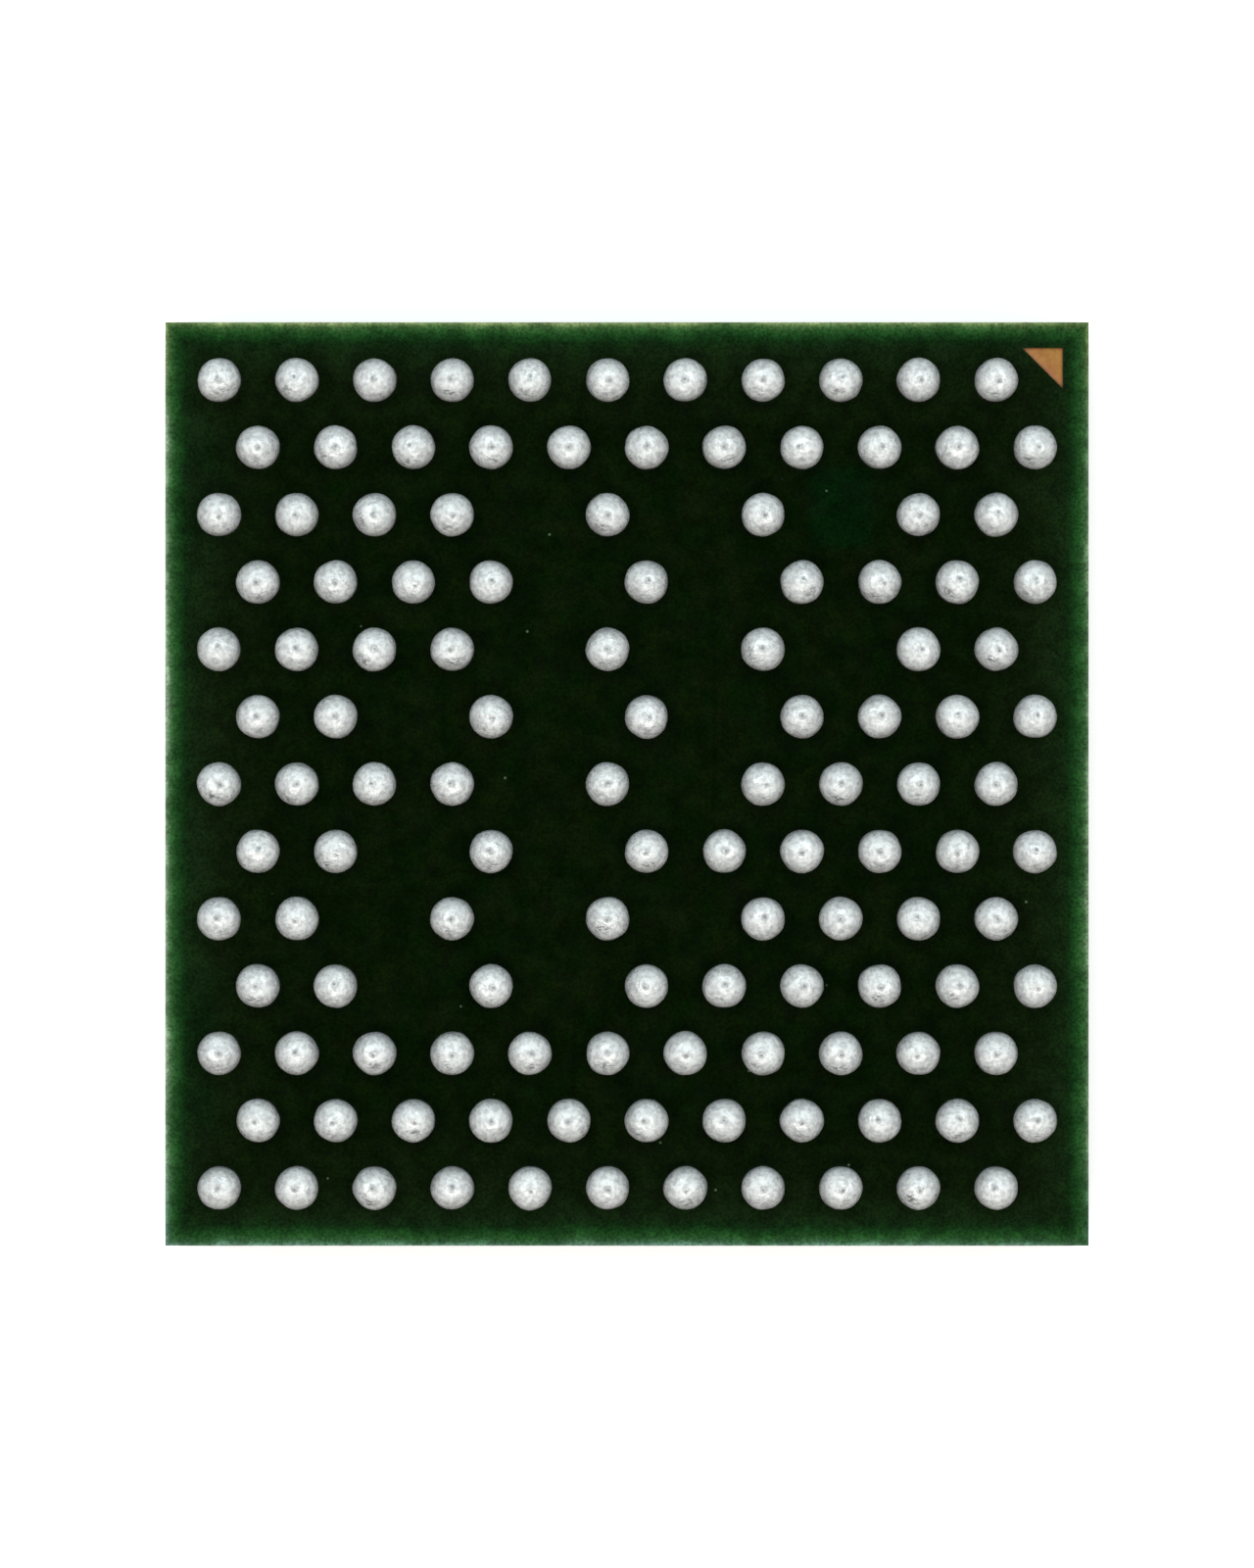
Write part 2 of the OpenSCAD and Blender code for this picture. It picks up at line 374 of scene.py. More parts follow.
class Inset(Effect):
    """How far a place lies in from the sawn outline of the body, in millimetres, with a ragged error added."""

    title = "inset"
    inputs = {"Half Side": 3.0, "Raggedness": 0.02}
    output = "Distance"

    @classmethod
    def wire(cls, graph: Graph, given: bpy.types.NodeOutputs) -> Socket:
        """Adds the nodes.

        Args:
            graph: The group's tree.
            given: The group's inputs.

        Returns:
            The distance.
        """
        axes = graph.axes()
        reach = graph.math("MAXIMUM", graph.math("ABSOLUTE", axes["X"]), graph.math("ABSOLUTE", axes["Y"]))
        wobble = graph.minus(graph.noise(graph.place(), 3500.0, detail=4.0, roughness=0.6), 0.5)
        return graph.math("ADD", graph.minus(given["Half Side"], reach), graph.times(wobble, given["Raggedness"]))


class Sawn(Effect):
    """Fine level scratches that the dicing blade leaves on the sides."""

    title = "sawn"
    inputs = {"Fineness": 1.0}
    output = "Height"

    @classmethod
    def wire(cls, graph: Graph, given: bpy.types.NodeOutputs) -> Socket:
        """Adds the nodes.

        Args:
            graph: The group's tree.
            given: The group's inputs.

        Returns:
            The height, from 0 to 1.
        """
        flattened = graph.stretch(graph.place(), (1.0, 1.0, 28.0))
        scale = graph.times(given["Fineness"], 2600.0)
        return graph.noise(flattened, scale, detail=5.0, roughness=0.7)


class Patch(Effect):
    """A soft-edged rectangle on the ball side, placed in millimetres."""

    title = "patch"
    inputs = {"Centre X": 0.0, "Centre Y": 0.0, "Half Width": 0.2, "Half Length": 0.2, "Softness": 0.05}
    output = "Mask"

    @classmethod
    def wire(cls, graph: Graph, given: bpy.types.NodeOutputs) -> Socket:
        """Adds the nodes.

        Args:
            graph: The group's tree.
            given: The group's inputs.

        Returns:
            The mask of the rectangle.
        """
        axes = graph.axes()
        over = []
        for axis, centre, half in (("X", "Centre X", "Half Width"), ("Y", "Centre Y", "Half Length")):
            away = graph.math("ABSOLUTE", graph.minus(axes[axis], given[centre]))
            over.append(graph.minus(away, given[half]))
        outside = graph.math("DIVIDE", graph.math("MAXIMUM", over[0], over[1]), given["Softness"])
        return graph.remap(outside, -1.0, 1.0, to_low=1.0, to_high=0.0)


@dataclass(frozen=True)
class Flecks:
    """Small separate flecks of one colour, laid over a finish."""

    tone: Colour
    scale: float
    share: float
    size: float
    strength: float

    def laid(self, graph: Graph, colour: Value, where: Value = 1.0) -> Socket:
        """Lays the flecks over a colour where another mask lets them show."""
        mask = graph.effect(Specks, Scale=self.scale, Share=self.share, Size=self.size)
        return graph.laid(colour, self.tone, graph.times(mask, where), self.strength)


@dataclass(frozen=True)
class Finish:
    """A procedural material with one Principled shader."""

    name: str

    def build(self) -> bpy.types.Material:
        """Builds the material.

        Returns:
            The material.
        """
        material = bpy.data.materials.new(self.name)
        material.use_nodes = True
        material.node_tree.nodes.clear()
        graph = Graph(material.node_tree)
        shader = graph.node("ShaderNodeBsdfPrincipled", inputs=self.paint(graph))
        graph.node("ShaderNodeOutputMaterial", inputs={"Surface": shader.outputs["BSDF"]})
        return material

    def paint(self, graph: Graph) -> Inputs:
        """Adds the nodes that feed the shader.

        Args:
            graph: The material's tree.

        Returns:
            What feeds each of the shader's inputs, by the input's name.
        """
        raise NotImplementedError


@dataclass(frozen=True)
class Window:
    """A rectangle where the copper plane under the mask is left out, in millimetres."""

    x: float
    y: float
    half_width: float
    half_length: float
    strength: float
    softness: float


@dataclass(frozen=True)
class SolderMask(Finish):
    """Dark green mask: nearly black over the copper plane, greener where the plane stops short of the edge, and
    lighter at the very edge, partly wear and partly a painted highlight, with a painted reflection there by side.
    """

    half_side: float = CAD_BOX[1][0] / MM
    raggedness: float = 0.07
    deep: Colour = shade(2, 14, 0)
    brown: Colour = shade(6, 16, 1)
    bare: Colour = shade(1, 20, 3)
    side: Colour = shade(26, 62, 30)
    dust: Flecks = Flecks(shade(128, 146, 120), scale=14000.0, share=0.01, size=0.16, strength=0.3)
    # Colour by millimetres in from the outline: the outermost stops are a painted highlight of the sawn edge with
    # some wear, the next ones the greener mask where the copper plane stops short.
    rim: tuple[tuple[float, Colour], ...] = (
        (0.0, shade(128, 150, 124)),
        (0.01, shade(100, 126, 97)),
        (0.02, shade(72, 102, 69)),
        (0.03, shade(54, 87, 53)),
        (0.045, shade(39, 74, 38)),
        (0.06, shade(29, 64, 28)),
        (0.08, shade(21, 55, 21)),
        (0.1, shade(16, 46, 17)),
        (0.13, shade(11, 33, 10)),
        (0.18, shade(12, 28, 8)),
        (0.35, shade(9, 21, 4)),
        (0.7, shade(5, 16, 1)),
        (1.3, shade(2, 14, 0)),
    )
    # Painted reflection: the edge band takes the colour of the tinted light that the edge catches on each side.
    edge_reflection_width: float = 0.08
    edge_reflection_start: float = 2.2
    edge_reflection_end: float = 2.9
    edge_reflection_right: Colour = (0.58, 0.65, 0.55, 1.0)
    edge_reflection_back: Colour = (0.96, 0.86, 0.58, 1.0)
    edge_reflection_front: Colour = (0.46, 0.64, 0.68, 1.0)
    windows: tuple[Window, ...] = (
        Window(1.38, 1.78, 0.2, 0.26, strength=0.8, softness=0.05),
        Window(-2.74, -1.75, 0.1, 0.5, strength=0.45, softness=0.1),
        Window(-2.7, 1.9, 0.12, 0.35, strength=0.4, softness=0.1),
    )
    traces: tuple[Window, ...] = (
        Window(0.565, 0.41, 0.012, 0.58, strength=0.35, softness=0.02),
        Window(0.725, -1.1, 0.012, 0.4, strength=0.3, softness=0.02),
        Window(-0.34, -1.9, 0.012, 0.35, strength=0.3, softness=0.02),
        Window(1.68, -1.35, 0.012, 0.3, strength=0.3, softness=0.02),
    )
    relief: float = 0.25 * UM

    def paint(self, graph: Graph) -> Inputs:
        """Adds the nodes that feed the shader.

        Args:
            graph: The material's tree.

        Returns:
            The shader's inputs.
        """
        inset = graph.effect(Inset, Half_Side=self.half_side, Raggedness=self.raggedness)
        clouds = graph.effect(Mottle, First=self.deep, Second=self.brown, Scale=5200.0, Share=0.5)
        colour = graph.mix(graph.remap(inset, 0.4, self.rim[-1][0]), self.rimmed(graph, inset), clouds)
        for tone, windows in ((self.bare, self.windows), (BLACK, self.traces)):
            for window in windows:
                mask = graph.effect(
                    Patch, Centre_X=window.x, Centre_Y=window.y, Half_Width=window.half_width,
                    Half_Length=window.half_length, Softness=window.softness,
                )
                colour = graph.laid(colour, tone, mask, window.strength)
        fine = graph.noise(graph.place(), 56000.0, detail=2.0, roughness=0.75)
        blotch = graph.noise(graph.place(), 7500.0, detail=3.0, roughness=0.65)
        colour = graph.shaded(colour, graph.remap(fine, 0.3, 0.7, to_low=0.6, to_high=1.44))
        colour = graph.shaded(colour, graph.remap(blotch, 0.34, 0.66, to_low=0.76, to_high=1.24))
        colour = self.dust.laid(graph, colour)
        gloss = graph.noise(graph.place(), 9000.0, detail=0.0)
        return {
            "Base Color": graph.mix(graph.remap(graph.facing(), 0.3, 0.6), self.side, colour),
            "Roughness": graph.remap(gloss, 0.3, 0.7, to_low=0.14, to_high=0.2),
            "Specular IOR Level": 0.2,
            "Normal": graph.bump(graph.effect(Grain, Scale=45000.0), self.relief),
        }

    def rimmed(self, graph: Graph, inset: Value) -> Socket:
        """Colours the mask by the distance in from the outline, with a painted reflection along the edge: darker on
        the right, olive behind and bluer in front.

        Args:
            graph: The material's tree.
            inset: The distance in from the outline, in millimetres.

        Returns:
            The colour.
        """
        reach = self.rim[-1][0]
        ramp = graph.node("ShaderNodeValToRGB", inputs={"Fac": graph.math("DIVIDE", inset, reach, clamp=True)})
        elements = ramp.color_ramp.elements
        while len(elements) < len(self.rim):
            elements.new(1.0)
        for element, (distance, paint) in zip(elements, self.rim):
            element.position = distance / reach
            element.color = paint
        colour = ramp.outputs["Color"]
        # Painted reflection along the edge, by side: darker on the right, olive behind, bluer in front.
        near = graph.remap(inset, 0.0, self.edge_reflection_width, to_low=1.0, to_high=0.0)
        axes = graph.axes()
        for axis, sign, tone in (("X", 1, self.edge_reflection_right), ("Y", 1, self.edge_reflection_back), ("Y", -1, self.edge_reflection_front)):
            share = graph.remap(axes[axis], sign * self.edge_reflection_start, sign * self.edge_reflection_end)
            colour = graph.mix(graph.times(near, share), colour, tone, "MULTIPLY")
        return colour


@dataclass(frozen=True)
class SawnLaminate(Finish):
    """The sawn side of the glass-filled core: layered glass bundles in green-brown resin."""

    resin: Colour = shade(58, 70, 34)
    glass: Colour = shade(104, 112, 74)
    ends: Flecks = Flecks(shade(186, 190, 160), scale=52000.0, share=0.3, size=0.4, strength=0.4)
    relief: float = 2.5 * UM

    def paint(self, graph: Graph) -> Inputs:
        """Adds the nodes that feed the shader.

        Args:
            graph: The material's tree.

        Returns:
            The shader's inputs.
        """
        flattened = graph.stretch(graph.place(), (1.0, 1.0, 7.0))
        bundles = graph.noise(flattened, 6500.0, detail=6.0, roughness=0.72)
        colour = graph.mix(graph.remap(bundles, 0.42, 0.66), self.resin, self.glass)
        return {
            "Base Color": self.ends.laid(graph, colour),
            "Roughness": graph.remap(bundles, 0.3, 0.7, to_low=0.72, to_high=0.5),
            "Normal": graph.bump(graph.effect(Sawn, Fineness=1.4), self.relief),
        }


@dataclass(frozen=True)
class MouldCompound(Finish):
    """Black moulded epoxy with cut filler grains, a worn edge and the lighter floor of the laser-cut dot."""

    half_side: float = CAD_BOX[1][0] / MM
    dot_x: float = 1.995
    dot_y: float = 2.065
    dot_radius: float = 0.525
    dot_depth: float = 0.02
    dot_margin: float = 0.002
    black: Colour = shade(5, 14, 15)
    blue: Colour = shade(13, 15, 28)
    teal: Colour = shade(8, 27, 26)
    scuff: Colour = shade(78, 82, 83)
    filler: Flecks = Flecks(shade(112, 114, 112), scale=30000.0, share=0.05, size=0.36, strength=0.25)
    worn: Colour = shade(66, 56, 50)
    worn_width: float = 0.09
    cut: Colour = shade(88, 90, 84)
    burnt: Colour = shade(54, 55, 51)
    side: Colour = shade(27, 29, 31)
    relief: float = 2.2 * UM

    def paint(self, graph: Graph) -> Inputs:
        """Adds the nodes that feed the shader.

        Args:
            graph: The material's tree.

        Returns:
            The shader's inputs.
        """
        place = graph.place()
        level = graph.facing()
        upright = graph.math("SUBTRACT", 1.0, level, clamp=True)
        first = graph.effect(Mottle, First=self.black, Second=self.blue, Scale=5000.0, Share=0.44)
        clouds = graph.effect(Mottle, First=first, Second=self.teal, Scale=11000.0, Share=0.45)
        grain = graph.noise(place, 50000.0, detail=4.0, roughness=0.7)
        colour = graph.mix(upright, clouds, self.side)
        colour = graph.shaded(colour, graph.remap(grain, 0.32, 0.68, to_low=0.2, to_high=1.9))
        scuffs = graph.noise(graph.warp(place, 9000.0, 60 * UM), 12000.0, detail=6.0, roughness=0.72)
        colour = graph.laid(colour, self.scuff, graph.remap(scuffs, 0.57, 0.74), 0.5)
        colour = self.filler.laid(graph, colour)
        inset = graph.effect(Inset, Half_Side=self.half_side, Raggedness=0.16)
        edge = graph.remap(inset, 0.0, self.worn_width, to_low=0.5, to_high=0.0)
        colour = graph.mix(graph.times(edge, level), colour, self.worn)
        dot = self.dot_mask(graph)
        colour = graph.mix(dot, colour, graph.mix(graph.remap(grain, 0.36, 0.6), self.burnt, self.cut))
        rough = graph.remap(graph.noise(place, 30000.0), 0.3, 0.7, to_low=0.58, to_high=0.74)
        saw = graph.times(graph.effect(Sawn, Fineness=1.0), upright)
        return {
            "Base Color": colour,
            "Roughness": graph.math("ADD", rough, graph.times(dot, 0.2), clamp=True),
            "Specular IOR Level": 0.06,
            "Normal": graph.bump(graph.math("ADD", graph.effect(Grain, Scale=70000.0), saw), self.relief),
        }

    def dot_mask(self, graph: Graph) -> Socket:
        """Finds the laser-cut floor: inside the dot's circle, and not on the moulded face itself.

        Args:
            graph: The material's tree.

        Returns:
            The mask of the floor.
        """
        axes = graph.axes()
        across = graph.math("POWER", graph.minus(axes["X"], self.dot_x), 2.0)
        along = graph.math("POWER", graph.minus(axes["Y"], self.dot_y), 2.0)
        radius = graph.math("SQRT", graph.math("ADD", across, along))
        inside = graph.math("LESS_THAN", radius, self.dot_radius + self.dot_margin)
        above = graph.math("GREATER_THAN", axes["Z"], 0.25 * self.dot_depth)
        near = graph.math("LESS_THAN", axes["Z"], 1.5 * self.dot_depth)
        return graph.times(graph.times(inside, above), near)


@dataclass(frozen=True)
class Solder(Finish):
    """Reflowed solder: satin silver with a fine grain, a crinkled patch on one flank, and painted shade in the test
    mark, the creases, the pits and towards the flanks.
    """

    bright: Colour = shade(217, 222, 220)
    dull: Colour = shade(186, 190, 189)
    crinkle_shade: Colour = shade(45, 46, 44)
    mark_shade: Colour = shade(92, 95, 96)
    pit_shade: Flecks = Flecks(shade(45, 46, 44), scale=46000.0, share=0.3, size=0.5, strength=0.45)
    crease_depth: float = 0.9
    flank_shade: float = 0.42
    relief: float = 3.2 * UM
    mark: str = "test_mark"
    crinkle: str = "crinkle"

    def paint(self, graph: Graph) -> Inputs:
        """Adds the nodes that feed the shader.

        Args:
            graph: The material's tree.

        Returns:
            The shader's inputs.
        """
        place = graph.place()
        level = graph.facing()
        marked = graph.attribute(self.mark)
        soft = graph.noise(place, 30000.0, detail=2.0, roughness=0.65)
        colour = graph.mix(graph.remap(soft, 0.35, 0.62), self.dull, self.bright)
        bent = graph.stretch(graph.warp(place, 30000.0, 20 * UM), (1.0, 2.2, 1.8))
        strokes = graph.noise(bent, 27000.0, detail=2.0, roughness=0.6)
        strokes = graph.remap(strokes, 0.46, 0.56, to_low=0.18, to_high=1.0)
        # Painted shade: the crinkled patch is greyed, partly for its crinkled skin and partly as shade painted on
        # the front flank and in the creases.
        creases = graph.times(graph.times(graph.attribute(self.crinkle), strokes), self.crease_depth)
        colour = graph.mix(creases, colour, self.crinkle_shade)
        # Painted shade: dark specks on the flanks stand for the shade in small pits.
        colour = self.pit_shade.laid(graph, colour, graph.remap(level, 0.82, 0.5))
        # Painted shade and painted reflection: the dimple of the test mark is darkened as if shaded and mirroring
        # the dark space overhead.
        colour = graph.laid(colour, self.mark_shade, marked, 0.8)
        # Painted shade: the colour darkens towards the flanks as they turn away from the light.
        colour = graph.shaded(colour, graph.remap(level, 0.75, 0.0, to_low=1.0, to_high=self.flank_shade))
        spots = graph.remap(graph.noise(place, 11000.0, detail=1.0), 0.5, 0.66)
        polished = graph.math("MAXIMUM", graph.remap(marked, 0.0005, 0.03), spots)
        skin = graph.noise(place, 46000.0, detail=2.0, roughness=0.62)
        return {
            "Base Color": colour,
            "Metallic": 0.28,
            "Roughness": graph.remap(polished, 0.0, 1.0, to_low=0.6, to_high=0.3),
            "Normal": graph.bump(graph.minus(skin, creases), self.relief),
        }


@dataclass(frozen=True)
class Metal(Finish):
    """A metal surface with clouded colour, fine grain and dull spots."""

    first: Colour
    second: Colour
    metallic: float
    roughness: float
    roughness_spread: float = 0.08
    cloud_scale: float = 12000.0
    grain_scale: float = 60000.0
    relief: float = 1.0 * UM

    def paint(self, graph: Graph) -> Inputs:
        """Adds the nodes that feed the shader.

        Args:
            graph: The material's tree.

        Returns:
            The shader's inputs.
        """
        tone = graph.noise(graph.place(), self.grain_scale / 2)
        smooth, rough = self.roughness - self.roughness_spread, self.roughness + self.roughness_spread
        return {
            "Base Color": graph.effect(Mottle, First=self.first, Second=self.second, Scale=self.cloud_scale),
            "Metallic": self.metallic,
            "Roughness": graph.remap(tone, 0.3, 0.7, to_low=smooth, to_high=rough),
            "Normal": graph.bump(graph.effect(Grain, Scale=self.grain_scale), self.relief),
        }


@dataclass(frozen=True)
class CornerCopper(Finish):
    """Dull bare copper of the corner mark, with painted shade along the foot of the mask wall around it."""

    corner: float
    leg: float
    orange: Colour = shade(139, 88, 30)
    gold: Colour = shade(143, 105, 36)
    pink: Colour = shade(154, 100, 66)
    pink_width: float = 0.06
    foot_shade: Colour = shade(58, 34, 8)
    foot_shade_width: float = 0.007
    relief: float = 1.4 * UM

    def paint(self, graph: Graph) -> Inputs:
        """Adds the nodes that feed the shader.

        Args:
            graph: The material's tree.

        Returns:
            The shader's inputs.
        """
        axes = graph.axes()
        sides = [graph.minus(self.corner, axes[axis]) for axis in ("X", "Y")]
        slope = graph.times(graph.minus(self.leg, graph.math("ADD", sides[0], sides[1])), math.sqrt(0.5))
        inset = graph.math("MINIMUM", graph.math("MINIMUM", sides[0], sides[1]), slope)
        clouds = graph.effect(Mottle, First=self.orange, Second=self.gold, Scale=9000.0, Share=0.46)
        worn = graph.noise(graph.place(), 16000.0, detail=4.0, roughness=0.65)
        fade = graph.remap(slope, 0.0, self.pink_width, to_low=0.6, to_high=0.0)
        colour = graph.mix(fade, clouds, self.pink)
        colour = graph.shaded(colour, graph.remap(worn, 0.3, 0.7, to_low=0.84, to_high=1.12))
        # Painted shade: the copper darkens next to the mask wall that rises around it.
        foot_shaded = graph.remap(inset, 0.0, self.foot_shade_width, to_low=0.7, to_high=0.0)
        return {
            "Base Color": graph.mix(foot_shaded, colour, self.foot_shade),
            "Metallic": 0.15,
            "Roughness": graph.remap(worn, 0.3, 0.7, to_low=0.42, to_high=0.58),
            "Normal": graph.bump(graph.effect(Grain, Scale=60000.0), self.relief),
        }


@dataclass(frozen=True)
class Silicon(Finish):
    """Polished silicon, grey-blue, with faint grinding lines."""

    dark: Colour = shade(92, 97, 106)
    light: Colour = shade(108, 112, 122)
    relief: float = 0.3 * UM

    def paint(self, graph: Graph) -> Inputs:
        """Adds the nodes that feed the shader.

        Args:
            graph: The material's tree.

        Returns:
            The shader's inputs.
        """
        lines = graph.noise(graph.stretch(graph.place(), (1.0, 40.0, 1.0)), 2500.0)
        return {
            "Base Color": graph.mix(graph.remap(lines, 0.4, 0.6), self.dark, self.light),
            "Metallic": 0.6,
            "Roughness": graph.remap(lines, 0.3, 0.7, to_low=0.16, to_high=0.26),
            "Normal": graph.bump(lines, self.relief),
        }


@dataclass(frozen=True)
class AttachFilm(Finish):
    """The tan film that holds the die."""

    light: Colour = shade(184, 168, 136)
    dark: Colour = shade(160, 142, 108)
    relief: float = 1.0 * UM

    def paint(self, graph: Graph) -> Inputs:
        """Adds the nodes that feed the shader.

        Args:
            graph: The material's tree.

        Returns:
            The shader's inputs.
        """
        return {
            "Base Color": graph.effect(Mottle, First=self.light, Second=self.dark, Scale=9000.0),
            "Roughness": 0.7,
            "Normal": graph.bump(graph.effect(Grain, Scale=50000.0), self.relief),
        }


@dataclass(frozen=True)
class StudioPaper(Finish):
    """The plain pale floor, which throws back only part of its light onto the part."""

    first: Colour = shade(250, 250, 250)
    second: Colour = shade(247, 247, 246)
    thrown: Colour = shade(150, 150, 150)
    glow: float = 0.3

    def paint(self, graph: Graph) -> Inputs:
        """Adds the nodes that feed the shader.

        Args:
            graph: The material's tree.

        Returns:
            The shader's inputs.
        """
        clouds = graph.mix(graph.noise(graph.place(), 90.0, detail=0.0), self.first, self.second)
        seen = graph.node("ShaderNodeLightPath").outputs["Is Camera Ray"]
        return {
            "Base Color": graph.mix(seen, self.thrown, clouds),
            "Roughness": 0.9,
            "Specular IOR Level": 0.1,
            "Emission Color": WHITE,
            "Emission Strength": graph.times(seen, self.glow),
        }


class Slot(Enum):
    """The material slots, with the finish of each."""

    MOULD = ("mould", MouldCompound("mould_compound"))
    MASK = ("solder_mask", SolderMask("solder_mask"))
    LAMINATE = ("laminate", SawnLaminate("sawn_laminate"))
    SOLDER = ("solder", Solder("solder"))
    BARE_COPPER = ("bare_copper", CornerCopper(
        "bare_copper", corner=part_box("corner_mark")[1].x / MM,
        leg=(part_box("corner_mark")[1].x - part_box("corner_mark")[0].x) / MM,
    ))
    COPPER = ("copper", Metal(
        "etched_copper", first=shade(196, 128, 88), second=shade(178, 108, 72), metallic=0.95, roughness=0.42,
    ))
    BOND_WIRE = ("bond_wire", Metal(
        "drawn_wire", first=shade(228, 186, 96), second=shade(214, 168, 82), metallic=1.0, roughness=0.24,
    ))
    PAD_METAL = ("pad_metal", Metal(
        "sputtered_metal", first=shade(206, 208, 212), second=shade(190, 192, 196), metallic=0.9, roughness=0.34,
    ))
    SILICON = ("silicon", Silicon("silicon"))
    ATTACH_FILM = ("attach_film", AttachFilm("attach_film"))

    def __init__(self, slot: str, finish: Finish) -> None:
        """Keeps a slot with its finish.

        Args:
            slot: The slot's name.
            finish: Its finish.
        """
        self.slot = slot
        self.finish = finish
        self.made: bpy.types.Material | None = None

    def material(self) -> bpy.types.Material:
        """Finds the slot's material, or builds it at its first use.

        Returns:
            The material.
        """
        if self.made is None:
            self.made = self.finish.build()
        return self.made

    def dress(self, *names: str) -> None:
        """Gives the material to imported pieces.

        Args:
            names: The pieces' names.
        """
        for name in names:
            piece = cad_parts[name]
            piece.data.materials.clear()
            piece.data.materials.append(self.material())
            log.info("%s: %s", name, self.finish.name)


class Side(Enum):
    """The four sides of the die."""

    RIGHT = "right"
    BACK = "back"
    LEFT = "left"
    FRONT = "front"


@dataclass
class MouldBlock:
    """The moulded block, with the die and its wires sealed inside."""

    def dress(self) -> None:
        """Finishes the block and what it seals in."""
        Slot.MOULD.dress("mould_cap")
        Slot.SILICON.dress("die")
        Slot.ATTACH_FILM.dress("die_attach")
        Slot.PAD_METAL.dress("die_pads")
        Slot.BOND_WIRE.dress(*(f"bond_wires_{side.value}" for side in Side))


@dataclass
class Laminate:
    """The small circuit board: its core, copper and both masks."""

    def dress(self) -> None:
        """Finishes the core, the copper and the masks."""
        Slot.LAMINATE.dress("laminate_core")
        Slot.MASK.dress("outer_mask", "inner_mask")
        Slot.BARE_COPPER.dress("corner_mark")
        Slot.COPPER.dress("die_flag", "finger_vias", "flag_vias", "ball_lands")
        Slot.COPPER.dress(*(f"bond_fingers_{side.value}" for side in Side))


